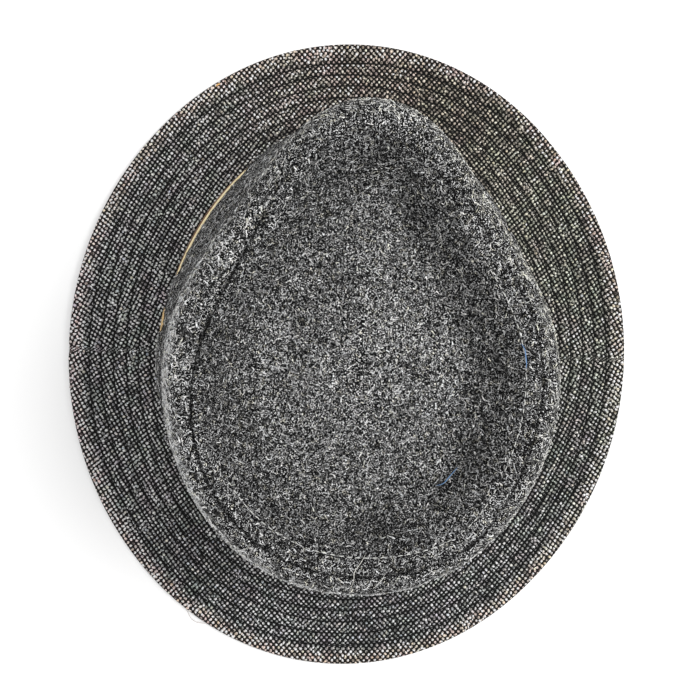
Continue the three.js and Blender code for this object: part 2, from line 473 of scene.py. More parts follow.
def tweedMaterial():
    # plain weave: the pale yarn shows where it lies on top, and the dark yarn between
    material, tree, shader = newMaterial("coarseTweed", roughness=0.95, specular=0.08)
    cloth = attributeOf(tree, "cloth").outputs["Vector"]
    yarn = attributeOf(tree, "yarn").outputs["Color"]
    split = addNode(tree, "ShaderNodeSeparateXYZ", {0: cloth})
    across = maths(tree, "SINE", maths(tree, "MULTIPLY", split.outputs[0], math.pi))
    along = maths(tree, "SINE", maths(tree, "MULTIPLY", split.outputs[1], math.pi))
    over = maths(tree, "MULTIPLY", across, along)
    where = objectPlace(tree)
    fibre = noiseOf(tree, where, scale=2600, detail=3, roughness=0.6)
    worn = noiseOf(tree, where, scale=420, detail=2)
    dark = blend(tree, weave["darkShare"], weave["dark"], yarn)
    light = blend(tree, between(tree, fibre, (0.3, 0.7), (0.1, 0.9)), dark, yarn)
    light = blend(tree, between(tree, worn, (0.35, 0.7), (0.0, 0.5)), light, dark)
    colour = blend(tree, between(tree, over, (0.12, 0.5)), dark, light)
    roundness = maths(tree, "POWER", maths(tree, "ABSOLUTE", over), 0.5)
    height = maths(tree, "ADD", roundness, maths(tree, "MULTIPLY", fibre, 0.5))
    finishSurface(tree, shader, colour, height, strength=0.9, depth=0.45)
    return material


def yarnMaterial(name, size, fleck=0.5):
    # spun yarn or a hair: its own colour, broken up by darker fibres
    material, tree, shader = newMaterial(name, roughness=0.9, specular=0.1)
    yarn = attributeOf(tree, "yarn").outputs["Color"]
    fibre = noiseOf(tree, objectPlace(tree), scale=size, detail=3, roughness=0.65)
    darker = blend(tree, fleck, yarn, grey(0.01))
    colour = blend(tree, between(tree, fibre, (0.32, 0.62)), darker, yarn)
    shader.inputs["Sheen Weight"].default_value = 0.05
    shader.inputs["Sheen Roughness"].default_value = 0.6
    finishSurface(tree, shader, colour, fibre, strength=0.5, depth=0.25)
    return material


wool = {
    "ground": grey(0.003, -0.06),
    "haze": grey(0.009, -0.02),
    "curl": grey(0.84, 0.003),
    "curlWarm": (0.84, 0.81, 0.71, 1.0),
    "layers": [(900, 0.10, 0.56, 0.31), (1300, 0.14, 0.58, 0.58)],  # scale, width, gaps, shift
    "patches": (0.74, 1.12),  # least and most of the fibres, from patch to patch
}


def curls(tree, where, scale, width, gaps, shift):
    # short curly fibres: thin lines where a noise crosses its middle, broken by two others
    moved = vectorMaths(tree, "ADD", where, (shift, -shift, 0.6 * shift))
    field = noiseOf(tree, moved, scale=scale, detail=1.0, distortion=0.4)
    apart = maths(tree, "ABSOLUTE", maths(tree, "SUBTRACT", field, 0.5))
    line = between(tree, apart, (width, 0.25 * width))
    breaks = noiseOf(tree, moved, scale=1.6 * scale, detail=0.0)
    shades = noiseOf(tree, moved, scale=1700.0, detail=0.0)
    broken = maths(tree, "MULTIPLY", line, between(tree, breaks, (gaps - 0.03, gaps + 0.04)))
    return maths(tree, "MULTIPLY", broken, between(tree, shades, (0.43, 0.54)))


def woolMaterial():
    # dark ground, a fine haze, and pale curly fibres, shown more where the nap attribute is higher;
    # that attribute carries painted shade down the slopes and a painted highlight along the rim
    material, tree, shader = newMaterial("brushedWool", roughness=1.0, specular=0.05)
    where = objectPlace(tree)
    level = attributeOf(tree, "nap").outputs["Fac"]
    haze = noiseOf(tree, where, scale=2200, detail=3, roughness=0.7, distortion=0.4)
    patch = noiseOf(tree, where, scale=85, detail=3, roughness=0.6)
    warm = noiseOf(tree, where, scale=430, detail=0.0)
    shown = maths(tree, "MULTIPLY", level, between(tree, patch, (0.3, 0.7), wool["patches"]))
    coarse, fine = (curls(tree, where, *layer) for layer in wool["layers"])
    fibres = maths(tree, "MAXIMUM", coarse, fine)
    hazed = maths(tree, "MULTIPLY", between(tree, haze, (0.40, 0.72)), shown, clamp=True)
    colour = blend(tree, hazed, wool["ground"], wool["haze"])
    curlColour = blend(tree, between(tree, warm, (0.66, 0.70)), wool["curl"], wool["curlWarm"])
    colour = blend(tree, maths(tree, "MULTIPLY", fibres, shown, clamp=True), colour, curlColour)
    finishSurface(tree, shader, colour, maths(tree, "ADD", haze, fibres), strength=0.7, depth=0.3)
    return material


leather = {
    "face": (0.15, 0.075, 0.032, 1.0),
    "worn": (0.25, 0.13, 0.055, 1.0),
    "crease": (0.10, 0.04, 0.015, 1.0),
    "rawEdge": (0.98, 0.84, 0.54, 1.0),
    "rawEdgeDark": (0.88, 0.63, 0.30, 1.0),
    "lapEdge": (0.80, 0.58, 0.30, 1.0),
    "lapEdgeDark": (0.50, 0.32, 0.15, 1.0),
    "roughness": (0.42, 0.62),  # where it is worn least and most
}


def leatherMaterial():
    material, tree, shader = newMaterial("bandLeather", roughness=0.5, specular=0.4)
    where = objectPlace(tree)
    cells = {"Vector": where, "Scale": 1100.0, "Randomness": 1.0}
    grain = addNode(tree, "ShaderNodeTexVoronoi", cells, feature="DISTANCE_TO_EDGE")
    grain = grain.outputs["Distance"]
    tone = noiseOf(tree, where, scale=60, detail=4, roughness=0.6)
    rough = between(tree, tone, (0.3, 0.7), leather["roughness"])
    tree.links.new(rough, shader.inputs["Roughness"])
    colour = blend(tree, between(tree, tone, (0.35, 0.7)), leather["face"], leather["worn"])
    creases = between(tree, grain, (0.0, 0.12), (0.6, 0.0))
    colour = blend(tree, creases, colour, leather["crease"])
    finishSurface(tree, shader, colour, between(tree, grain, (0.0, 0.2)), strength=0.35, depth=0.3)
    return material


def rawEdgeMaterial(name, pale, dark):
    material, tree, shader = newMaterial(name, roughness=0.85)
    fibre = noiseOf(tree, objectPlace(tree), scale=1400, detail=4, roughness=0.7)
    colour = blend(tree, between(tree, fibre, (0.3, 0.5)), dark, pale)
    finishSurface(tree, shader, colour, fibre, strength=0.5, depth=0.2)
    return material


def threadMaterial(name, colour):
    material, tree, shader = newMaterial(name, roughness=0.8)
    ply = noiseOf(tree, objectPlace(tree), scale=2400, detail=2, roughness=0.6)
    twist = between(tree, ply, (0.3, 0.7), (0.0, 0.7))
    shade = blend(tree, twist, colour, darkened(colour, 0.4))
    finishSurface(tree, shader, shade, ply, strength=0.4, depth=0.2)
    return material


threads = {
    "rows": grey(0.006),
    "tip": (0.74, 0.74, 0.71, 1.0),
    "band": (0.72, 0.55, 0.30, 1.0),
}


tweed = tweedMaterial()
tweedYarn = yarnMaterial("tweedYarn", size=3200)
brushedWool = woolMaterial()
woolHair = yarnMaterial("woolHair", size=1000, fleck=0.6)
# fewer dark flecks on the rim's hairs, part of the painted highlight along the rim
rimHair = yarnMaterial("rimHair", size=1000, fleck=0.35)
bandLeather = leatherMaterial()
rawEdge = rawEdgeMaterial("rawLeatherEdge", leather["rawEdge"], leather["rawEdgeDark"])
lapEdge = rawEdgeMaterial("lapLeatherEdge", leather["lapEdge"], leather["lapEdgeDark"])
darkThread = threadMaterial("darkThread", threads["rows"])
paleThread = threadMaterial("paleThread", threads["tip"])
bandThread = threadMaterial("bandThread", threads["band"])
print("materials made")


# Geometry Nodes trees

def newTree(name, sockets):
    # sockets are labels with their defaults; one without a default takes a material
    kinds = {float: "NodeSocketFloat", int: "NodeSocketInt", type(None): "NodeSocketMaterial"}
    tree = bpy.data.node_groups.new(name, "GeometryNodeTree")
    tree.interface.new_socket("Geometry", in_out="INPUT", socket_type="NodeSocketGeometry")
    tree.interface.new_socket("Geometry", in_out="OUTPUT", socket_type="NodeSocketGeometry")
    for label, value in sockets.items():
        socket = tree.interface.new_socket(label, in_out="INPUT", socket_type=kinds[type(value)])
        if value is not None:
            socket.default_value = value
    return tree, tree.nodes.new("NodeGroupInput").outputs, tree.nodes.new("NodeGroupOutput")


def vectorFrom(tree, **axes):
    return addNode(tree, "ShaderNodeCombineXYZ", axes).outputs[0]


def smoothed(tree, geometry):
    return addNode(tree, "GeometryNodeSetShadeSmooth", {"Geometry": geometry}).outputs[0]


def sweep(tree, curve, thickness, sides, **more):
    # a closed round tube along a curve
    circle = {"Resolution": sides, "Radius": maths(tree, "MULTIPLY", thickness, 0.5)}
    ring = addNode(tree, "GeometryNodeCurvePrimitiveCircle", circle)
    inputs = {"Curve": curve, "Profile Curve": ring.outputs[0], "Fill Caps": True, **more}
    return smoothed(tree, addNode(tree, "GeometryNodeCurveToMesh", inputs).outputs[0])


def closeTree(tree, out, geometry, material, spent=()):
    # drops the attributes that have done their work, and ends in real geometry with its material
    for name in spent:
        inputs = {"Geometry": geometry, "Name": name}
        geometry = addNode(tree, "GeometryNodeRemoveAttribute", inputs).outputs[0]
    real = addNode(tree, "GeometryNodeRealizeInstances", {"Geometry": geometry})
    inputs = {"Geometry": real.outputs[0], "Material": material}
    dressed = addNode(tree, "GeometryNodeSetMaterial", inputs)
    tree.links.new(dressed.outputs[0], out.inputs[0])
    return tree


def named(tree, name, kind="FLOAT_VECTOR"):
    node = addNode(tree, "GeometryNodeInputNamedAttribute", {"Name": name}, data_type=kind)
    return node.outputs["Attribute"]


def beadTree():
    # lays one small closed bead on every point, along its "along" and facing its "facing"
    tree, given, out = newTree("beadOnPoints", {
        "Length": 0.001, "Width": 0.001, "Height": 0.0005, "Segments": 8, "Rings": 2, "Material": None})
    ball = {"Segments": given["Segments"], "Rings": given["Rings"], "Radius": 0.5}
    bead = addNode(tree, "GeometryNodeMeshUVSphere", ball)
    size = vectorFrom(tree, X=given["Length"], Y=given["Width"], Z=given["Height"])
    inputs = {"Geometry": bead.outputs["Mesh"], "Scale": size}
    shaped = addNode(tree, "GeometryNodeTransform", inputs)
    cloud = addNode(tree, "GeometryNodeMeshToPoints", {"Mesh": given["Geometry"]})
    axes = {"Primary Axis": named(tree, "facing"), "Secondary Axis": named(tree, "along")}
    turned = addNode(tree, "FunctionNodeAxesToRotation", axes, primary_axis="Z", secondary_axis="X")
    laid = addNode(tree, "GeometryNodeInstanceOnPoints", {
        "Points": cloud.outputs[0], "Instance": smoothed(tree, shaped.outputs[0]),
        "Rotation": turned.outputs[0], "Scale": named(tree, "size")})
    return closeTree(tree, out, laid.outputs[0], given["Material"], ("facing", "along", "size"))


def hairTree():
    # scatters short curly hairs over a surface, more of them where its "cover" is higher
    tree, given, out = newTree("hairOnSurface", {
        "Density": 1.0, "Length": 0.005, "Thickness": 0.0003, "Curl": 0.001, "Curl Size": 0.003,
        "Lift": 0.0002, "Stand": 0.2, "Bends": 6, "Seed": 1, "Material": None})
    lean, fullTurn = 0.25, 6.2832  # radians, out of the surface and on it
    shortest, longest = 0.45, 1.4  # of the length
    farApart = 40.0  # so that no two hairs curl alike

    def randomOf(low, high, seedShift, kind="FLOAT"):
        seed = maths(tree, "ADD", given["Seed"], float(seedShift))
        node = addNode(tree, "FunctionNodeRandomValue", {"Seed": seed}, data_type=kind)
        sockets = [s for s in node.inputs if s.enabled and s.name in ("Min", "Max")]
        for socket, value in zip(sockets, (low, high)):
            socket.default_value = value
        return [s for s in node.outputs if s.enabled][0]

    def store(geometry, name, value, kind="FLOAT_VECTOR", domain="INSTANCE"):
        inputs = {"Geometry": geometry, "Name": name}
        node = addNode(tree, "GeometryNodeStoreNamedAttribute", inputs, data_type=kind, domain=domain)
        tree.links.new(value, [s for s in node.inputs if s.name == "Value" and s.enabled][0])
        return node.outputs[0]

    # one straight hair
    half = maths(tree, "MULTIPLY", given["Length"], 0.5)
    ends = {"Start": vectorFrom(tree, X=maths(tree, "MULTIPLY", half, -1.0)),
            "End": vectorFrom(tree, X=half)}
    line = addNode(tree, "GeometryNodeCurvePrimitiveLine", ends)
    inputs = {"Curve": line.outputs[0], "Count": given["Bends"]}
    line = addNode(tree, "GeometryNodeResampleCurve", inputs)
    hair = sweep(tree, line.outputs[0], given["Thickness"], 3)

    # scattered, each with its own heading, length and shade
    density = maths(tree, "MULTIPLY", given["Density"], named(tree, "cover", "FLOAT"))
    inputs = {"Mesh": given["Geometry"], "Density": density, "Seed": given["Seed"]}
    spots = addNode(tree, "GeometryNodeDistributePointsOnFaces", inputs, distribute_method="RANDOM")
    spin = vectorFrom(tree, Y=randomOf(-lean, lean, 3), Z=randomOf(0.0, fullTurn, 1))
    spin = addNode(tree, "FunctionNodeEulerToRotation", {0: spin})
    inputs = {"Rotation": spots.outputs["Rotation"], "Rotate By": spin.outputs[0]}
    turned = addNode(tree, "FunctionNodeRotateRotation", inputs, rotation_space="LOCAL")
    points = store(spots.outputs["Points"], "facing", spots.outputs["Normal"], domain="POINT")
    laid = addNode(tree, "GeometryNodeInstanceOnPoints", {
        "Points": points, "Instance": hair, "Rotation": turned.outputs[0],
        "Scale": vectorFrom(tree, X=randomOf(shortest, longest, 2), Y=1.0, Z=1.0)})
    own = randomOf((-1.0,) * 3, (1.0,) * 3, 4, "FLOAT_VECTOR")
    geometry = store(laid.outputs[0], "own", own)
    geometry = store(geometry, "shade", randomOf(0.0, 1.0, 5), "FLOAT")
    real = addNode(tree, "GeometryNodeRealizeInstances", {"Geometry": geometry})

    # bent by a noise that differs from hair to hair, mostly along the surface
    where = addNode(tree, "GeometryNodeInputPosition").outputs[0]
    scaled = vectorMaths(tree, "SCALE", where, maths(tree, "DIVIDE", 1.0, given["Curl Size"]))
    shift = vectorMaths(tree, "SCALE", named(tree, "own"), farApart)
    inputs = {"Vector": vectorMaths(tree, "ADD", scaled, shift), "Scale": 1.0, "Detail": 0.0}
    field = addNode(tree, "ShaderNodeTexNoise", inputs).outputs["Color"]
    centred = vectorMaths(tree, "SUBTRACT", field, (0.5, 0.5, 0.5))
    push = vectorMaths(tree, "SCALE", centred, maths(tree, "MULTIPLY", given["Curl"], 4.0))
    normal = named(tree, "facing")
    outward = vectorMaths(tree, "DOT_PRODUCT", push, normal)
    kept = maths(tree, "SUBTRACT", given["Stand"], 1.0)
    trim = vectorMaths(tree, "SCALE", normal, maths(tree, "MULTIPLY", outward, kept))
    lift = vectorMaths(tree, "SCALE", normal, given["Lift"])
    offset = vectorMaths(tree, "ADD", vectorMaths(tree, "ADD", push, trim), lift)
    inputs = {"Geometry": real.outputs[0], "Offset": offset}
    bent = addNode(tree, "GeometryNodeSetPosition", inputs)
    return closeTree(tree, out, bent.outputs[0], given["Material"], ("facing", "own", "cover"))


def grow(name, base, tree, values):
    # runs a tree on a base mesh, and keeps the result as a plain mesh
    modifier = base.modifiers.new("grow", "NODES")
    modifier.node_group = tree
    keys = {item.name: item.identifier for item in tree.interface.items_tree
            if item.item_type == "SOCKET" and item.in_out == "INPUT"}
    for label, value in values.items():
        modifier[keys[label]] = value
    base.update_tag()
    bpy.context.view_layer.update()
    graph = bpy.context.evaluated_depsgraph_get()
    mesh = bpy.data.meshes.new_from_object(base.evaluated_get(graph))
    mesh.name = name
    old = base.data
    bpy.data.objects.remove(base)
    bpy.data.meshes.remove(old)
    return addObject(name, mesh)


def strapTree():
    # gives a strip of the wall its thickness: inner face, outer face and cut edges
    tree, given, out = newTree("strapFromStrip", {
        "Thickness": 0.001, "Merge": 0.00001, "Face": None, "Cut Edge": None})
    strip = given["Geometry"]
    inputs = {"Mesh": strip, "Offset Scale": given["Thickness"], "Individual": False}
    raised = addNode(tree, "GeometryNodeExtrudeMesh", inputs, mode="FACES")
    inner = addNode(tree, "GeometryNodeFlipFaces", {"Mesh": strip})
    both = addNode(tree, "GeometryNodeJoinGeometry", {"Geometry": inner.outputs[0]})
    tree.links.new(raised.outputs["Mesh"], both.inputs["Geometry"])
    inputs = {"Geometry": both.outputs[0], "Distance": given["Merge"]}
    closed = addNode(tree, "GeometryNodeMergeByDistance", inputs)
    smooth = smoothed(tree, closed.outputs[0])
    real = addNode(tree, "GeometryNodeRealizeInstances", {"Geometry": smooth})
    inputs = {"Geometry": real.outputs[0], "Material": given["Face"]}
    faced = addNode(tree, "GeometryNodeSetMaterial", inputs)
    inputs = {"Geometry": faced.outputs[0], "Selection": raised.outputs["Side"],
              "Material": given["Cut Edge"]}
    edged = addNode(tree, "GeometryNodeSetMaterial", inputs)
    tree.links.new(edged.outputs[0], out.inputs[0])
    return tree


def fibreTree():
    # a round fibre along a path, as thick at each point as its "girth"
    tree, given, out = newTree("fibreAlongPath", {"Thickness": 0.0003, "Sides": 6, "Material": None})
    path = addNode(tree, "GeometryNodeMeshToCurve", {"Mesh": given["Geometry"]})
    girth = named(tree, "girth", "FLOAT")
    fibre = sweep(tree, path.outputs[0], given["Thickness"], given["Sides"], Scale=girth)
    return closeTree(tree, out, fibre, given["Material"])


beadOnPoints = beadTree()
hairOnSurface = hairTree()
strapFromStrip = strapTree()
fibreAlongPath = fibreTree()
print("node trees made")


def layBeads(name, here, facing, along, shape, material, size=1.0, yarn=None):
    # one bead for each float or stitch; yarn is its colour, where the beads differ in colour
    mesh = bpy.data.meshes.new(name + "Points")
    mesh.from_pydata((here * mm).tolist(), [], [])
    base = addObject(name + "Points", mesh)
    setAttribute(base, "facing", "FLOAT_VECTOR", facing)
    setAttribute(base, "along", "FLOAT_VECTOR", along)
    setAttribute(base, "size", "FLOAT_VECTOR", np.broadcast_to(size, here.shape))
    if yarn is not None:
        setAttribute(base, "yarn", "FLOAT_COLOR", yarn)
    return grow(name, base, beadOnPoints, {
        "Length": shape["length"] * mm, "Width": shape["width"] * mm, "Height": shape["height"] * mm,
        "Segments": shape["segments"], "Rings": shape["rings"], "Material": material})


def keep(piece, node=None):
    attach(piece, body)
    if node:
        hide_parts(node)
    triangles = sum(len(p.vertices) - 2 for p in piece.data.polygons)
    print("made", piece.name, triangles, "triangles")
    return piece


# the brim

def halfAxes():
    # directions across and along the middle of the front half of the cloth
    middle = math.radians(weave["middle"])
    aside = np.array([math.sin(middle), -math.cos(middle)])
    return aside, np.array([math.cos(middle), math.sin(middle)])


def clothCoordinates(x, y):
    # threads counted across and along the flat cut of the half that a point is on
    aside, ahead = halfAxes()
    u, v = x * aside[0] + y * aside[1], x * ahead[0] + y * ahead[1]
    side = np.where(v < 0, -1.0, 1.0)
    angle = np.arctan2(u, np.abs(v)) * weave["coneShare"]
    slant = weave["radius"] / weave["coneShare"] + (np.hypot(x, y) - weave["radius"]) * weave["stretch"]
    across, along = slant * np.sin(angle), slant * np.cos(angle)
    off = math.radians(weave["offGrain"]) * side
    return ((across * np.cos(off) + along * np.sin(off)) / weave["column"],
            (along * np.cos(off) - across * np.sin(off)) / weave["row"])


def clothPlaces(columns, rows, side):
    # the other way round: where a crossing of the flat cut lies on the brim
    off = math.radians(weave["offGrain"]) * side
    across, along = columns * weave["column"], rows * weave["row"]
    flatX = across * np.cos(off) - along * np.sin(off)
    flatY = across * np.sin(off) + along * np.cos(off)
    angle = np.arctan2(flatX, flatY) / weave["coneShare"]
    slant = np.hypot(flatX, flatY)
    radius = weave["radius"] + (slant - weave["radius"] / weave["coneShare"]) / weave["stretch"]
    aside, ahead = halfAxes()
    u, v = radius * np.sin(angle), side * radius * np.cos(angle)
    inside = (np.abs(angle) < math.pi / 2) & (radius > weave["nearest"])
    return np.stack([u * aside[0] + v * ahead[0], u * aside[1] + v * ahead[1]], -1)[inside]


yarnLook = {
    "edge": (8.6, 5.5),  # the pale strip along the edge: its width, and how softly it ends
    "clouds": [(70, 3, 0.10), (18, 4, 0.10)],  # lighter and darker places: size, seed, amount
    "tints": [(9, 6, 0.03), (26, 7, 0.02)],
    "lighter": [(150, 50, 0.36), (70, 50, -0.20), (225, 50, 0.10)],  # painted light and shade round the brim, lighter at the front left and back left and darker at the front right: turn, spread, amount
    "brown": [(86, 32, 0.17)],
    "green": [(52, 70, 0.17)],
    "edgeLighter": 0.70,
    "edgeDuller": [(70, 45, 0.4)],
    "edgePink": 0.16,
    "edgeLessPink": [(345, 25, 0.12)],
    "edgeWarm": 0.12,
    "edgeLeft": [(195, 42, 1.0)],  # where the edge is lighter still, and cooler
    "leftLighter": 0.30,
    "leftCooler": 0.12,
}


def nearEdge(inset):
    width, soft = yarnLook["edge"]
    return ramp(width - inset, 0, soft)


def yarnColour(x, y, reach, turn):
    # cloth colour by place: lighter and pinkish along the edge, brown in front, greenish right, and
    # painted light and shade from side to side
    look = yarnLook
    edge = nearEdge(brimOuter(turn) - reach)
    left = edge * humpsAt(turn, look["edgeLeft"])
    level = 1 + cloudsAt(x, y, look["clouds"]) + humpsAt(turn, look["lighter"])
    level = level + look["edgeLighter"] * edge * (1 - humpsAt(turn, look["edgeDuller"]))
    level = weave["light"] * (level + look["leftLighter"] * left)
    pink = look["edgePink"] - humpsAt(turn, look["edgeLessPink"])
    red = 1 + humpsAt(turn, look["brown"]) * (1 - edge) + pink * edge
    blue = 1 - humpsAt(turn, look["green"]) * (1 - edge)
    blue = blue - look["edgeWarm"] * edge + look["leftCooler"] * left
    tint = cloudsAt(x, y, look["tints"])
    channels = [red * (1 + tint) * level, (1 - 0.4 * tint) * level, blue * (1 + 0.6 * tint) * level]
    return np.stack(channels + [np.ones_like(red)], -1)


brimMesh = {
    "turnStep": 0.8,
    "edgeInsets": [0.0, 0.12, 0.45, 0.95, 1.45, 2.2, 3.2, 4.3, 5.4, 6.4],
    "besideRow": (-1.9, -1.25, -0.62, 0.0, 0.62, 1.25, 1.9, 3.1),  # close together at each row
    "lastInset": 45.6,
    "underRelief": 0.45,  # share of the rows' relief that shows from below
    "underFade": (1.0, 4.0),  # insets over which it begins
    "bevel": 1.2,  # where the underside meets the turned-up collar
    "foldWidth": 0.8,
    "collarShares": [0.0, 0.25, 0.625, 1.0],
}


def brimInsets():
    insets = list(brimMesh["edgeInsets"])
    for row in range(brim["rows"]):
        middle = brim["firstRow"] + row * brim["rowPitch"]
        insets += [middle + more for more in brimMesh["besideRow"]]
    return np.array(insets + [brimMesh["lastInset"]])[None, :]


def makeBrim():
    turns = np.arange(0, 360, brimMesh["turnStep"])
    turn = turns[:, None]
    outer = brimOuter(turn)
    inner = crown["footReach"] + brim["seatWidth"]
    topReach = np.maximum(outer - brimInsets(), inner)
    lowReach = (outer - brimInsets()[:, 1::2])[:, ::-1]
    lowInset = outer - lowReach
    lowRelief = ramp(lowInset, *brimMesh["underFade"]) * stitchRelief(lowInset, lowReach, turn)
    lowHeight = brimTop(lowReach, turn, False) - brim["thickness"] + 2 * roundedEdge(lowReach, turn)
    lowHeight = np.maximum(lowHeight - brimMesh["underRelief"] * lowRelief, edgeLift(turn))
    collarRise = brim["collarHeight"] * np.array([brimMesh["collarShares"]])
    collarLevels = brim["breakHeight"] + collarRise
    collarOut = wallReach(turn, collarLevels) - crown["wall"] - gap
    collarIn = collarOut - brim["collarThickness"]
    root, under = collarIn[:, :1], brim["breakHeight"] - brim["thickness"]
    bevel, fold = brimMesh["bevel"], inner - brimMesh["foldWidth"]
    reach = joined(turn, root, root + bevel, lowReach, topReach, fold, collarOut, collarIn[:, :0:-1])
    height = joined(turn, under + bevel, under, lowHeight, brimTop(topReach, turn),
                    brim["breakHeight"], collarLevels, collarLevels[:, :0:-1])
    piece = ringPiece("brim_cloth", reach, height, turns, tweed)
    # the weave runs on round the edge, and up the collar from the fold
    curved = brim["edgeRound"]
    over = np.clip((reach - outer + curved) / curved, 0, 1)
    risen = np.where(reach < fold - 0.1, np.clip(height - brim["breakHeight"], 0, None), 0)
    flatReach = reach + curved * (np.arcsin(over) - over) - risen
    x, y, _ = place(flatReach, height, turn).reshape(-1, 3).T
    across, along = clothCoordinates(x, y)
    setAttribute(piece, "cloth", "FLOAT_VECTOR", np.stack([across, along, 0 * along], -1))
    allTurns = np.broadcast_to(turn, reach.shape).ravel()
    setAttribute(piece, "yarn", "FLOAT_COLOR", yarnColour(x, y, reach.ravel(), allTurns))
    return keep(piece, "brim")


def spineCoordinates(x, y):
    # the turn and reach of points on the brim, found in a few steps
    turn = np.degrees(np.arctan2(y, x))
    for _ in range(8):
        value = y * cosine(turn) - x * sine(turn) - spine * sine(turn) * cosine(turn)
        slope = -y * sine(turn) - x * cosine(turn) - spine * cosine(2 * turn)
        turn = turn - np.degrees(value / slope)
    return turn % 360, np.hypot(x, y - spine * sine(turn))


def topPoint(x, y):
    turn, reach = spineCoordinates(x, y)
    return np.stack([x, y, brimTop(reach, turn)], -1)


floats = {
    "length": 1.55,  # across the brim
    "width": 1.25,
    "height": 0.60,
    "segments": 6,
    "rings": 2,
    "columns": (-170, 170),  # threads laid out, before the brim's outline cuts them off
    "rows": (-60, 170),
    "edgeClear": 0.55,
    "crownClear": 0.2,
    "jitter": 0.24,
    "wander": 0.42,
    "wanderClouds": (14, 31, 32),  # size, and a seed for each direction
    "skew": 20,  # degrees that a float may lie off the brim's run
    "sizes": [(0.5, 1.28), (0.5, 1.28), (0.8, 1.2)],  # least and most, along, across and up
    "edgeLarger": 0.10,
    "rowSpread": (0.7, 0.5),  # how far a row presses the cloth, outside and inside it
    "rowSmaller": 0.4,
    "rowDarker": 0.97,
    "besideRow": (1.1, 0.16, 1.3, 0.14, 0.7),  # painted highlight just inside a row and painted shade just outside it, where the swelled cloth tilts: where, how much
    "sink": (0.04, 0.18),  # into the cloth, and more so in a row
    "toneSpread": 0.68,
    "tones": (0.12, 1.6),
    "missing": 0.06,  # share of the floats that are dark yarn all over
    "missingTone": 0.06,
    "hueSpread": 0.04,
    "edgeHue": (0.07, 0.2),  # spread and most
    "colours": (0.004, 0.95),  # darkest and palest
    "seed": 11,
}


def floatColours(rng, x, y, reach, turn, off, pressed):
    count, edge = len(x), nearEdge(brimOuter(turn) - reach)
    inside, paler, outside, darker, spread = floats["besideRow"]
    tone = np.clip(np.exp(rng.normal(0, floats["toneSpread"], count)), *floats["tones"])
    tone = tone * (1 - floats["rowDarker"] * pressed)
    # painted highlight inside each row and painted shade outside it
    tone = tone * (1 + paler * hump(off - inside, spread) - darker * hump(off + outside, spread))
    isMissing = rng.uniform(0, 1, count) < floats["missing"]
    tone = np.where(isMissing, floats["missingTone"], tone)
    hue = rng.normal(0, floats["hueSpread"], count)
    edgeSpread, edgeMost = floats["edgeHue"]
    hue = hue + edge * np.clip(rng.normal(0.0, edgeSpread, count), 0, edgeMost)
    colours = yarnColour(x, y, reach, turn)
    colours[:, :3] *= np.stack([tone * (1 + 0.6 * hue), tone, tone * (1 - 1.2 * hue)], -1)
    colours = np.clip(colours, *floats["colours"])
    colours[:, 3] = 1
    return colours


def makeFloats():
    # plain weave: the pale yarn lies on top at every second crossing
    rng = np.random.default_rng(floats["seed"])
    columns, rows = np.arange(*floats["columns"]), np.arange(*floats["rows"])
    columns, rows = np.meshgrid(columns, rows, indexing="ij")
    onTop = (columns + rows) % 2 == 0
    columns, rows = columns[onTop] + 0.5, rows[onTop] + 0.5
    x, y = np.concatenate([clothPlaces(columns, rows, side) for side in (1.0, -1.0)]).T
    size, seedX, seedY = floats["wanderClouds"]
    x = x + rng.normal(0, floats["jitter"], len(x)) + floats["wander"] * waves(x, y, size, seedX)
    y = y + rng.normal(0, floats["jitter"], len(x)) + floats["wander"] * waves(x, y, size, seedY)
    turn, reach = spineCoordinates(x, y)
    inset = brimOuter(turn) - reach
    nearCrown = reach <= crown["footReach"] + floats["crownClear"]
    onBrim = (inset > floats["edgeClear"]) & ~nearCrown
    x, y, turn, reach, inset = (values[onBrim] for values in (x, y, turn, reach, inset))
    step = 0.3
    byX = topPoint(x + step, y) - topPoint(x - step, y)
    byY = topPoint(x, y + step) - topPoint(x, y - step)
    facing = np.cross(byX, byY)
    facing /= np.linalg.norm(facing, axis=1)[:, None]
    count = len(x)
    heading = turn + rng.normal(0, floats["skew"], count)
    along = byX * cosine(heading)[:, None] + byY * sine(heading)[:, None]
    off = besideRow(inset, turn)[1]
    outside, inside = floats["rowSpread"]
    pressed = hump(off, np.where(off > 0, inside, outside))
    size = np.stack([rng.uniform(*span, count) for span in floats["sizes"]], -1)
    larger = floats["edgeLarger"] * nearEdge(inset) - floats["rowSmaller"] * pressed
    size *= (1 + larger)[:, None]
    colours = floatColours(rng, x, y, reach, turn, off, pressed)
    sink, rowSink = floats["sink"]
    here = topPoint(x, y) - facing * (sink + rowSink * pressed)[:, None]
    piece = layBeads("brim_warp_floats", here, facing, along, floats, tweedYarn, size, colours)
    return keep(piece)


stitching = {
    "pitch": 2.8,
    "stagger": 0.37,  # of a stitch, from row to row
    "length": 3.9,
    "width": 0.8,
    "height": 0.5,
    "segments": 5,
    "rings": 3,
    "lift": 0.10,
}


def sewnLine(pointAt, turn, *more):
    # points of a sewn line, the way its cloth faces and the way it runs
    step = 0.5  # degrees along the line, and millimetres to both sides
    here = pointAt(turn, 0, *more)
    along = pointAt(turn + step, 0, *more) - here
    facing = np.cross(pointAt(turn, step, *more) - pointAt(turn, -step, *more), along)
    return here, facing / np.linalg.norm(facing, axis=1)[:, None], along


def rowPoint(turn, outward, row):
    # the thread lies in its groove, and faces as the smooth brim does
    reach = brimOuter(turn) - rowInset(row, turn) + outward
    return place(reach, brimTop(reach, turn, outward == 0), turn)


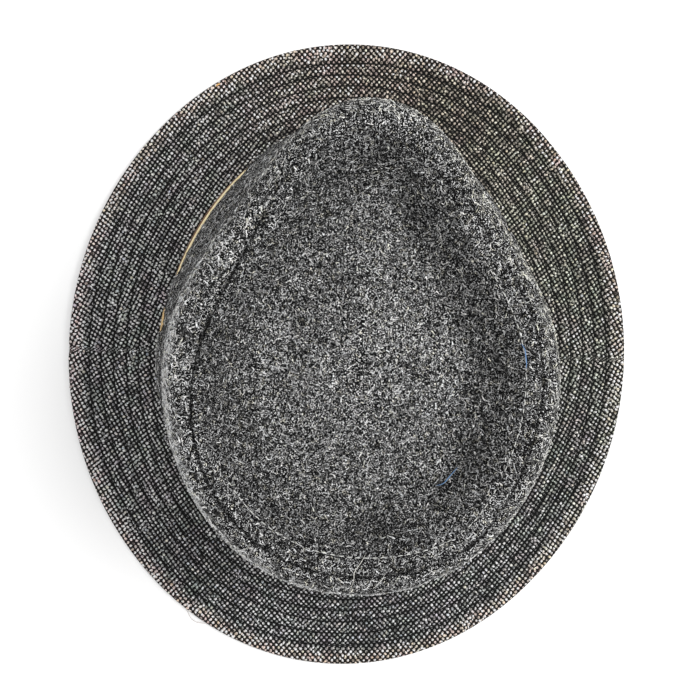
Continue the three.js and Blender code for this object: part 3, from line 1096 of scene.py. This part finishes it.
def makeBrimStitches():
    parts = []
    for row in range(brim["rows"]):
        length = 2 * np.pi * (brim["reach"] - rowInset(row, 90.0) + 0.5 * spine)
        count = int(length / stitching["pitch"])
        turn = (np.arange(count) + stitching["stagger"] * row) * 360 / count
        parts.append(sewnLine(rowPoint, turn, row))
    here, facing, along = np.concatenate(parts, 1)
    here = here + stitching["lift"] * facing
    piece = layBeads("brim_stitches", here, facing, along, stitching, darkThread)
    return keep(piece)


makeBrim()
makeFloats()
makeBrimStitches()
print("brim made and sewn")


# the crown

seamLook = {
    "depth": 1.3,  # how deep the cloth turns down at the tip seam
    "width": 0.55,
    "hidden": [(88, 42, 0.8)],  # under the nap in front: turn, spread, share
    "shallow": [(10, 60, 0.35)],
    "uneven": 0.20,
    "dark": 0.95,  # how far the pale fibres are missing in it
    "darkAt": (0.15, 0.6),  # past the seam, and over this spread
    "bare": (1.25, 1.15),  # width without hairs on the side and on the tip
}


def seamShare(turn):
    # how well the tip seam shows, from 0 to 1
    shown = 1 - humpsAt(turn, seamLook["hidden"])
    uneven = seamLook["uneven"] * sine(9 * turn) * sine(23 * turn + 40)
    return shown * (1 - seamLook["uneven"] + uneven) * (1 - humpsAt(turn, seamLook["shallow"]))


def seamDip(turn, distance):
    # how far the cloth turns down at a distance from the tip seam
    return seamLook["depth"] * seamShare(turn) * hump(distance, seamLook["width"])


nap = {
    "levels": [  # how much the pale fibres show, by the distance in from the rim; the dip down the slopes towards the crease is painted shade
        (0, 1.1), (5, 1.12), (9, 0.95), (14, 0.79), (22, 0.65), (30, 0.75), (38, 0.91), (50, 1.03),
    ],
    "paintedSlopeShade": [(88, 40, 0.10), (270, 35, 0.10)],  # painted shade on the slopes in front and at the back: turn, spread, share
    "dullFrom": (10, 16),
    "dullTo": (60, 75),
    "wallLevel": 1.1,
    "most": 1.35,  # past this the cloth itself gets no paler, only its hairs
    "foot": (40.5, 43.0),  # heights over which the hairs begin above the band
    "island": (30, 40),  # insets over which the island's hairs take over from the slope's
    "pieces": {
        "wool_nap_wall": {"count": 4700, "length": 2.8, "stand": 0.3, "bends": 5},
        "wool_nap_rim": {"count": 7000, "length": 2.6, "stand": 0.4, "bends": 5},
        "wool_nap_slope": {"count": 7900, "length": 1.6, "stand": 0.25, "bends": 4},
        "wool_nap_island": {"count": 10200, "length": 1.0, "stand": 0.25, "bends": 3},
    },
    "thickness": 0.25,
    "curl": 0.62,
    "curlSize": 1.0,
    "lift": 0.12,
    "seed": 5,
    "shades": (3.0, 0.5),  # how few hairs are pale, and how much less few in the rim's painted highlight
    "darkest": 0.005,
    "palest": 0.95,
    "gain": 1.6,
    "warm": [(40, 75, 1.0)],  # where the hairs are warmer
    "rimWarmth": 0.035,
    "warmth": 0.004,
    "fewWarm": (0.92, 0.05),  # past this share of the hairs they are warm by so much
    "tint": 0.05,
}

rimFuzzAndHighlight = {
    "level": 2.8,  # painted highlight: brighter fuzz where the side turns over
    "more": 3.6,  # and more of it
    "inset": -0.5,
    "further": [(205, 48, 1.7)],  # further in at the left and back: turn, spread, inset
    "width": 1.15,
    "wider": [(190, 42, 1.0)],
    "less": [(112, 32, 0.8), (155, 30, 0.35), (80, 18, 0.35)],  # beside the left pinch and in front
}


def rimLine(inset, turn):
    # how thick the fuzz stands where the side turns over, which also sets the strength of its painted
    # highlight
    middle = rimFuzzAndHighlight["inset"] + humpsAt(turn, rimFuzzAndHighlight["further"])
    width = rimFuzzAndHighlight["width"] + humpsAt(turn, rimFuzzAndHighlight["wider"])
    return hump(inset - middle, width) * (1 - humpsAt(turn, rimFuzzAndHighlight["less"]))


def napAndPaintedLight(inset, turn):
    # how much the pale fibres show: painted shade down the slopes, a painted highlight along the rim,
    # and the darker tip seam
    insets, levels = np.array(nap["levels"]).T
    past, spread = seamLook["darkAt"]
    inSeam = seamShare(turn) * hump(inset - seamInset(turn) - past, spread)
    level = np.interp(inset, insets, levels) + rimFuzzAndHighlight["level"] * rimLine(inset, turn)
    dull = ramp(inset, *nap["dullFrom"]) * (1 - ramp(inset, *nap["dullTo"]))
    level = level * (1 - humpsAt(turn, nap["paintedSlopeShade"]) * dull)
    return level * (1 - seamLook["dark"] * inSeam)


swell = {
    "over": 1.75,  # how far the wool swells over the top edge of the band
    "overLap": 2.9,  # and over the lap's
    "lap": [(176, 178), (190, 196)],  # turns where it begins and ends to swell over the lap
    "shown": [  # where the edge shows: turn, half the width, softness, and swell left
        (145.5, 19.0, 3.5, 0.5), (175.0, 2.6, 0.8, 1.2), (36.5, 2.5, 2.0, 1.05),
    ],
    "rise": (0.2, 3.0),  # heights above the band
    "fall": (8.0, 26.0),
}


def bulge(turn, height):
    begin, end = swell["lap"]
    onLap = ramp(turn, *begin) * (1 - ramp(turn, *end))
    amount = swell["over"] + (swell["overLap"] - swell["over"]) * onLap
    for middle, half, soft, left in swell["shown"]:
        share = ramp(half - np.abs(turnsApart(turn, middle)), 0, soft)
        amount = amount + (left - amount) * share
    above = height - (brim["breakHeight"] + gap + band["height"])
    return amount * ramp(above, *swell["rise"]) * (1 - ramp(above, *swell["fall"]))


def clothUnevenness(points, amount):
    # soft, uneven blocking of the cloth, as a height
    x, y, z = points[..., 0], points[..., 1], points[..., 2]
    large = waves(x + 0.6 * z, y - 0.5 * z, 34, 21)
    return amount * (large + 0.5 * waves(x - 0.4 * z, y + z, 13, 22))


sideMesh = {
    "turnStep": 0.9,
    "wallRows": 34,
    "rollRows": 26,
    "innerStep": 3,  # every third row is enough inside
    "uneven": 0.22,
    "unevenFrom": (42, 60),  # heights
    "seamDrop": 2.4,
}


def crownSideSkin(turn):
    # outer face of the side, from its foot over the rolled rim to the tip seam
    wallRows, rollRows = sideMesh["wallRows"], sideMesh["rollRows"]
    foot = brim["breakHeight"] + gap
    lean = rimRoll(turn)[2]
    shoulder = rollPoint(turn, lean)[1]
    wallHeight = foot + (shoulder - foot) * np.linspace(0, 1, wallRows, endpoint=False)[None, :]
    past = seamInset(turn) - crown["rimRadius"]
    seamAngle = np.pi / 2 + np.arcsin(past / crown["rimRadius"])
    angle = lean + (seamAngle - lean) * np.linspace(0, 1, rollRows)[None, :]
    rollReach, rollHeight = rollPoint(turn, angle)
    inset = rimReach(turn) - rollReach
    topHeight = np.where(angle > np.pi / 2, tipHeight(turn, inset), rollHeight)
    share = ramp(inset, crown["rimRadius"] - 3, crown["rimRadius"])
    rollHeight = rollHeight + (topHeight - rollHeight) * share
    reach = joined(turn, wallReach(turn, wallHeight), rollReach)
    return reach, joined(turn, wallHeight, rollHeight)


def makeCrownSide():
    turns = np.arange(0, 360, sideMesh["turnStep"])
    turn = turns[:, None]
    reach, height = crownSideSkin(turn)
    innerReach, innerHeight = offsetSection(reach, height, crown["wall"])
    innerReach = innerReach[:, ::sideMesh["innerStep"]]
    innerHeight = innerHeight[:, ::sideMesh["innerStep"]].copy()
    innerHeight[:, 0] = brim["breakHeight"] + gap
    seamReach, seamHeight = reach[:, -1:], height[:, -1:]
    toSeam = np.hypot(reach - seamReach, height - seamHeight)
    rough = clothUnevenness(place(reach, height, turn), sideMesh["uneven"])
    rough = rough * ramp(toSeam, 1, 6) * ramp(height, *sideMesh["unevenFrom"])
    outReach = reach + bulge(turn, height)
    outHeight = height - seamDip(turn, toSeam) + rough
    lipReach = seamReach + crown["allowanceThickness"]
    lipFoot = seamHeight - crown["wall"] - crown["allowance"]
    allReach = joined(turn, outReach, seamReach, seamReach, lipReach, lipReach, innerReach[:, -2::-1])
    allHeight = joined(turn, outHeight, seamHeight - sideMesh["seamDrop"], lipFoot, lipFoot,
                       seamHeight - crown["wall"], innerHeight[:, -2::-1])
    piece = ringPiece("crown_side_cloth", allReach, allHeight, turns, brushedWool)
    wallRows, inset = sideMesh["wallRows"], rimReach(turn) - reach
    onRoll = ramp(np.arange(reach.shape[1]), wallRows - 4, wallRows + 2)[None, :]
    # the nap level, on the cloth and its hairs, carries a painted highlight along the rim
    level = nap["wallLevel"] + (napAndPaintedLight(inset, turn) - nap["wallLevel"]) * onRoll
    inside = np.full((len(turns), allReach.shape[1] - level.shape[1]), nap["wallLevel"])
    shown = np.minimum(np.concatenate([level, inside], 1), nap["most"])
    setAttribute(piece, "nap", "FLOAT", shown)
    cover = (1 - seamShare(turn) * hump(toSeam, seamLook["bare"][0])) * ramp(height, *nap["foot"])
    cover = cover * (1 + rimFuzzAndHighlight["more"] * rimLine(inset, turn) * onRoll)
    skin = {"points": place(outReach, outHeight, turn), "level": level,
            "faces": quadsBetween(len(turns), reach.shape[1], True, False)}
    keep(piece, "crown_side")
    return dict(skin, cover=cover * (1 - onRoll)), dict(skin, cover=cover * onRoll)


tipMesh = {
    "turnStep": 1.2,
    "slopeRows": 44,
    "islandRows": 22,
    "innerStep": 3,
    "crowding": 1.25,  # of the rows towards the seam
    "uneven": 0.30,
    "plainMiddle": 25.0,  # the unevenness dies out towards the middle
    "seamDrop": 1.2,
}


def crownTipSkin(turn):
    # outer face of the tip, from its seam down the slope and up the island
    rim = rimReach(turn)
    edge = seamInset(turn) + gap
    crease = crown["rimRadius"] + crown["slopeWidth"]
    share = np.linspace(0, 1, tipMesh["slopeRows"])[None, :] ** tipMesh["crowding"]
    inset = edge + (crease - edge) * share
    inward = np.linspace(1, 0, tipMesh["islandRows"] + 1)[None, 1:-1]
    islandReach = (rim - crease) * inward
    reach = joined(turn, rim - inset, islandReach)
    return reach, joined(turn, tipHeight(turn, inset), islandHeight(turn, islandReach, inward))


def makeCrownTip():
    turns = np.arange(0, 360, tipMesh["turnStep"])
    turn = turns[:, None]
    reach, height = crownTipSkin(turn)
    fromSeam = np.abs(reach[:, :1] - reach)
    rough = clothUnevenness(place(reach, height, turn), tipMesh["uneven"]) * ramp(fromSeam, 1, 6)
    rough = rough * np.clip(reach / tipMesh["plainMiddle"], 0, 1)
    outHeight = height - seamDip(turn, fromSeam) + rough
    step = tipMesh["innerStep"]
    inReach, inHeight = reach[:, ::step].copy(), height[:, ::step] - crown["wall"]
    inReach[:, 0] -= crown["allowanceThickness"]
    lipFoot = inHeight[:, :1] - crown["allowance"]
    edge = reach[:, :1]
    allReach = joined(turn, inReach[:, ::-1], inReach[:, :1], edge, edge, reach)
    allHeight = joined(turn, inHeight[:, ::-1], lipFoot, lipFoot,
                       outHeight[:, :1] - tipMesh["seamDrop"], outHeight)
    grid = place(allReach, allHeight, turn)
    columns, rows = grid.shape[:2]
    top = crown["crest"] - crown["islandDepth"]
    poles = np.array([[0, 0, top - crown["wall"]], [0, 0, top]])
    points = np.concatenate([poles, grid.reshape(-1, 3)])
    faces = quadsBetween(columns, rows, True, False, 2)
    for a in range(columns):  # closed at both poles
        first, second = 2 + a * rows, 2 + (a + 1) % columns * rows
        faces.append([0, second, first])
        faces.append([first + rows - 1, second + rows - 1, 1])
    piece = meshFrom("crown_tip_cloth", points, faces, brushedWool)
    # the nap level, on the cloth and its hairs, carries painted shade down the slopes towards the
    # crease
    shown = napAndPaintedLight(rimReach(turn) - allReach, turn)
    setAttribute(piece, "nap", "FLOAT", np.concatenate([[1, 1], shown.ravel()]))
    inset = rimReach(turn) - reach
    cover = 1 - seamShare(turn) * hump(fromSeam, seamLook["bare"][1])
    onIsland = ramp(inset, *nap["island"])
    skin = {"points": place(reach, outHeight, turn), "level": napAndPaintedLight(inset, turn),
            "faces": quadsBetween(len(turns), reach.shape[1], True, False)}
    keep(piece, "crown_tip")
    return dict(skin, cover=cover * (1 - onIsland)), dict(skin, cover=cover * onIsland)


skins = makeCrownSide() + makeCrownTip()  # wall, rim, slope and island
print("crown cloth made")


def coveredArea(skin):
    # area of a skin in square metres, counting each face by its cover
    points, faces = skin["points"].reshape(-1, 3) * mm, np.array(skin["faces"])
    corners = points[faces]
    across, along = corners[:, 2] - corners[:, 0], corners[:, 3] - corners[:, 1]
    area = 0.5 * np.linalg.norm(np.cross(across, along), axis=1)
    return (area * skin["cover"].ravel()[faces].mean(1)).sum()


def readAttribute(piece, name):
    values = np.zeros(len(piece.data.vertices), np.float32)
    attribute = piece.data.attributes[name]
    attribute.data.foreach_get("value", values)
    piece.data.attributes.remove(attribute)
    return values


def hairColours(name, shade, level, turn):
    # most hairs are dark and a few are pale; the shade's last digits say which are warm or tinted.
    # Their level brings in painted shade down the slopes and a painted highlight along the rim
    few, lessFew = nap["shades"]
    power = few - lessFew * np.clip(level - 1.3, 0, 2)
    bright = (nap["darkest"] + nap["gain"] * shade ** power) * level
    bright = np.clip(bright, 0.0, nap["palest"])
    share, warmer = nap["fewWarm"]
    warmth = nap["rimWarmth"] if name == "wool_nap_rim" else nap["warmth"]
    warm = (np.modf(shade * 37.0)[0] > share) * warmer + warmth * humpsAt(turn, nap["warm"])
    tint = (np.modf(shade * 91.0)[0] - 0.5) * nap["tint"]
    red, blue = bright * (1 + tint + 0.2 * warm), bright * (1 - tint - 2.2 * warm)
    return np.stack([red, bright, blue, np.ones_like(bright)], -1)


def makeNap(name, skin, seed):
    look = nap["pieces"][name]
    hair = rimHair if name == "wool_nap_rim" else woolHair
    base = meshFrom(name + "Skin", skin["points"], skin["faces"], hair)
    setAttribute(base, "cover", "FLOAT", skin["cover"])
    setAttribute(base, "level", "FLOAT", skin["level"])
    piece = grow(name, base, hairOnSurface, {
        "Density": look["count"] / coveredArea(skin), "Length": look["length"] * mm,
        "Thickness": nap["thickness"] * mm, "Curl": nap["curl"] * mm,
        "Curl Size": nap["curlSize"] * mm, "Lift": nap["lift"] * mm, "Stand": look["stand"],
        "Bends": look["bends"], "Seed": seed, "Material": hair})
    shade, level = readAttribute(piece, "shade"), readAttribute(piece, "level")
    points = np.zeros(3 * len(piece.data.vertices), np.float32)
    piece.data.vertices.foreach_get("co", points)
    turn = np.degrees(np.arctan2(points[1::3], points[0::3]))
    setAttribute(piece, "yarn", "FLOAT_COLOR", hairColours(name, shade, level, turn))
    return keep(piece)


for number, (name, skin) in enumerate(zip(nap["pieces"], skins)):
    makeNap(name, skin, nap["seed"] + number)
print("nap grown")


topstitch = {
    "pitch": 3.3,
    "length": 2.7,
    "width": 0.42,
    "height": 0.42,
    "segments": 6,
    "rings": 4,
    "inset": 6.2,  # in from the seam
    "further": [(245, 50, 1.7)],
    "lift": 0.2,
    "sunk": -0.36,  # on the left and in front, where the nap hides it
    "sunkFrom": (42, 52),
    "halfUp": [(196, 212), (248, 268)],  # turns over which it comes up again
}


def topstitchInset(turn):
    return seamInset(turn) + topstitch["inset"] + humpsAt(turn, topstitch["further"])


def topstitchPoint(turn, outward):
    inset = topstitchInset(turn) - outward
    return place(rimReach(turn) - inset, tipHeight(turn, inset), turn)


def makeTopstitch():
    turn = np.arange(0, 360, 0.05)
    steps = np.linalg.norm(np.diff(topstitchPoint(turn, 0), axis=0), axis=1)
    travelled = np.concatenate([[0], np.cumsum(steps)])
    count = int(travelled[-1] / topstitch["pitch"])
    turn = np.interp((np.arange(count) + 0.5) * travelled[-1] / count, travelled, turn)
    here, facing, along = sewnLine(topstitchPoint, turn)
    hidden = ramp(turn, *topstitch["sunkFrom"])
    hidden = hidden * (1 - sum(0.5 * ramp(turn, *span) for span in topstitch["halfUp"]))
    lift = topstitch["lift"] + (topstitch["sunk"] - topstitch["lift"]) * hidden
    here = here + facing * lift[:, None]
    piece = layBeads("tip_topstitch", here, facing, along, topstitch, paleThread)
    return keep(piece)


makeTopstitch()
print("tip topstitched")


# loose fibres

lint = {  # a route's points are turn, inset from the rim (or the brim's edge) and lift
    "blue_lint_upper": {
        "colour": (0.19, 0.34, 0.62, 1.0), "thickness": 0.42, "onBrim": False,
        "route": [(5.4, 14.9, 0.5), (3.8, 14.1, 0.7), (2.0, 14.3, 0.7), (0.0, 14.2, 0.6),
                  (-1.6, 14.6, 0.3)]},
    "blue_lint_lower": {
        "colour": (0.17, 0.31, 0.54, 1.0), "thickness": 0.4, "onBrim": False,
        "route": [(312.6, 29.6, 0.5), (315.0, 28.2, 0.8), (318.4, 28.4, 0.7), (322.8, 28.0, 0.5)]},
    "long_hair_upper": {
        "colour": (0.86, 0.84, 0.78, 1.0), "thickness": 0.27, "onBrim": False,
        "route": [(271.2, 2.6, 0.8), (272.3, 7.6, 1.2), (272.0, 10.8, 1.4), (274.8, 14.2, 1.1),
                  (276.4, 16.8, 0.6)]},
    "long_hair_lower": {
        "colour": (0.84, 0.83, 0.79, 1.0), "thickness": 0.27, "onBrim": False,
        "route": [(278.0, 3.4, 0.9), (279.6, 5.6, 1.3), (281.4, 7.6, 1.2), (282.2, 9.4, 0.7)]},
    "orange_speck": {
        "colour": (0.85, 0.50, 0.20, 1.0), "thickness": 0.9, "onBrim": True,
        "route": [(121.5, 1.9, 0.6), (122.1, 1.6, 0.9), (122.6, 1.9, 0.6)]},
    "edge_thread": {
        "colour": (0.50, 0.38, 0.33, 1.0), "thickness": 0.2, "onBrim": True,
        "route": [(237.8, 0.8, 0.2), (238.8, -0.9, 0.5), (240.0, -2.5, 0.3), (241.4, -2.3, 0.1),
                  (242.6, -0.8, 0.2), (243.4, 0.7, 0.2)]},
}


def smoothPath(points, rounds=3):
    # cuts the corners of a path, keeping its ends
    for _ in range(rounds):
        near, far = 0.75 * points[:-1] + 0.25 * points[1:], 0.25 * points[:-1] + 0.75 * points[1:]
        middle = np.stack([near, far], 1).reshape(-1, 3)
        points = np.concatenate([points[:1], middle[1:-1], points[-1:]])
    return points


def makeFibre(name):
    fibre = lint[name]
    turn, inset, lift = np.array(fibre["route"]).T
    reach = (brimOuter(turn) if fibre["onBrim"] else rimReach(turn)) - inset
    height = brimTop(reach, turn) if fibre["onBrim"] else tipHeight(turn, inset)
    path = smoothPath(place(reach, height + lift, turn))
    mesh = bpy.data.meshes.new(name + "Path")
    mesh.from_pydata((path * mm).tolist(), [(i, i + 1) for i in range(len(path) - 1)], [])
    base = addObject(name + "Path", mesh)
    along = np.linspace(0, 1, len(path))
    girth = 0.35 + 0.65 * np.sqrt(np.sin(np.pi * along))  # thin at both ends
    setAttribute(base, "girth", "FLOAT", girth)
    piece = grow(name, base, fibreAlongPath, {
        "Thickness": fibre["thickness"] * mm, "Sides": 6,
        "Material": threadMaterial(name, fibre["colour"])})
    return keep(piece)


for fibreName in lint:
    makeFibre(fibreName)
print("loose fibres laid")


# the band

def strapPiece(name, turn, middle, half, clearance, closedRound, cutEdge):
    # a strap lying on the wall, half its height above and below its middle, with softened edges
    level = middle + half * np.linspace(-1, 1, band["levels"])[None, :]
    points = place(wallReach(turn, level) + clearance, level, turn)
    faces = quadsBetween(points.shape[0], points.shape[1], closedRound, False)
    base = meshFrom(name + "Strip", points, faces, bandLeather)
    piece = grow(name, base, strapFromStrip, {
        "Thickness": band["thickness"] * mm, "Face": bandLeather, "Cut Edge": cutEdge})
    softened = piece.modifiers.new("softEdges", "BEVEL")
    softened.width, softened.segments = band["edgeRound"] * mm, 2
    softened.limit_method, softened.angle_limit = "ANGLE", math.radians(50)
    return piece


def bandMiddle():
    return brim["breakHeight"] + gap + band["height"] / 2


def makeBand():
    turn = np.arange(0, 360, 1.0)[:, None]
    half = band["height"] / 2 + 0 * turn
    piece = strapPiece("hatband_leather", turn, bandMiddle(), half, band["clearance"], True, rawEdge)
    return keep(piece, "hatband")


def makeOverlap():
    # the free end of the strap, with a rounded tip
    roundPart = np.linspace(0, 1, 9) ** 2 * band["roundTurn"]
    along = np.concatenate([roundPart, np.arange(6, band["overlapTurn"] + 0.1, 1.0)])[:, None]
    share = np.clip(along / band["roundTurn"], 0, 1)
    rounding = band["blunt"] + (1 - band["blunt"]) * np.sqrt(1 - (1 - share) ** 2)
    half = (band["height"] / 2 - band["margin"]) * rounding
    clearance = 2 * band["clearance"] + band["thickness"]
    piece = strapPiece("band_overlap_leather", band["overlapFrom"] + along, bandMiddle(), half,
                       clearance, False, lapEdge)
    return keep(piece, "band_overlap")


lapStitching = {
    "count": 5,
    "from": 1.6,  # degrees of turn past the strap's end
    "pitch": 1.15,
    "length": 1.9,
    "width": 0.5,
    "height": 0.4,
    "segments": 8,
    "rings": 6,
    "lift": 0.12,
    "drop": 0.12375,  # of the band's height, where the tip is rounded
}


def makeLapStitches():
    # whip stitches over the top edge of the lap
    count = lapStitching["count"]
    past = lapStitching["from"] + np.arange(count) * lapStitching["pitch"]
    turn = band["overlapFrom"] + past
    drop = lapStitching["drop"] * band["height"] * (1 - ramp(past, 0, band["roundTurn"]))
    height = bandMiddle() + band["height"] / 2 - band["margin"] - drop
    reach = wallReach(turn, height) + 2 * band["clearance"] + 1.5 * band["thickness"]
    here = place(reach, height + lapStitching["lift"], turn)
    along = place(1.0, 0.0, turn) - place(0.0, 0.0, turn)
    facing = np.tile([0.0, 0.0, 1.0], (count, 1))
    piece = layBeads("lap_stitches", here, facing, along, lapStitching, bandThread)
    return keep(piece)


makeBand()
makeOverlap()
makeLapStitches()
print("band made and sewn")


# floor, light and camera

stageLook = {
    "floor": 0.92,
    "floorSide": 3000.0,
    "floorLevel": -0.05,  # just clear of the brim
    "world": 0.42,
    "keyLight": (12.0, 0.8, (0.82, 0.20, 1.04)),  # watts, width and place in metres
    "topLight": (12.5, 0.9, (0.0, 0.05, 1.5)),
    "aim": (0.0, 0.0, 0.05),
    "cameraPlace": (-27.07, -1.54, 481.5),
    "roll": 3.35,
    "lens": 50.9,
    "shift": (0.0857, 0.0057),
}


def makeFloor():
    material, _, shader = newMaterial("paleFloor", roughness=0.9)
    shader.inputs["Base Color"].default_value = grey(stageLook["floor"])
    side, level = stageLook["floorSide"], stageLook["floorLevel"]
    points = [(-side, -side, level), (side, -side, level), (side, side, level), (-side, side, level)]
    meshFrom("floor", points, [[0, 1, 2, 3]], material, False)


def makeLight(name):
    data = bpy.data.lights.new(name, "AREA")
    data.energy, data.size, where = stageLook[name]
    data.shape = "DISK"
    light = addObject(name, data)
    light.location = where
    aim = mathutils.Vector(where) - mathutils.Vector(stageLook["aim"])
    light.rotation_mode = "QUATERNION"
    light.rotation_quaternion = aim.to_track_quat("Z", "Y")


def makeWorld():
    world = bpy.data.worlds.new("paleStudio")
    world.use_nodes = True
    background = world.node_tree.nodes["Background"]
    background.inputs["Color"].default_value = grey(1.0)
    background.inputs["Strength"].default_value = stageLook["world"]
    bpy.context.scene.world = world


def makeCamera():
    data = bpy.data.cameras.new("camera")
    data.lens, data.sensor_width = stageLook["lens"], 36.0
    data.shift_x, data.shift_y = stageLook["shift"]
    data.clip_start = 0.01
    camera = addObject("camera", data)
    camera.location = [value * mm for value in stageLook["cameraPlace"]]
    camera.rotation_euler = (0, 0, math.radians(stageLook["roll"]))
    bpy.context.scene.camera = camera


makeFloor()
makeLight("keyLight")
makeLight("topLight")
makeWorld()
bpy.context.scene.view_settings.view_transform = "Standard"
makeCamera()
print("floor, lights and camera placed")
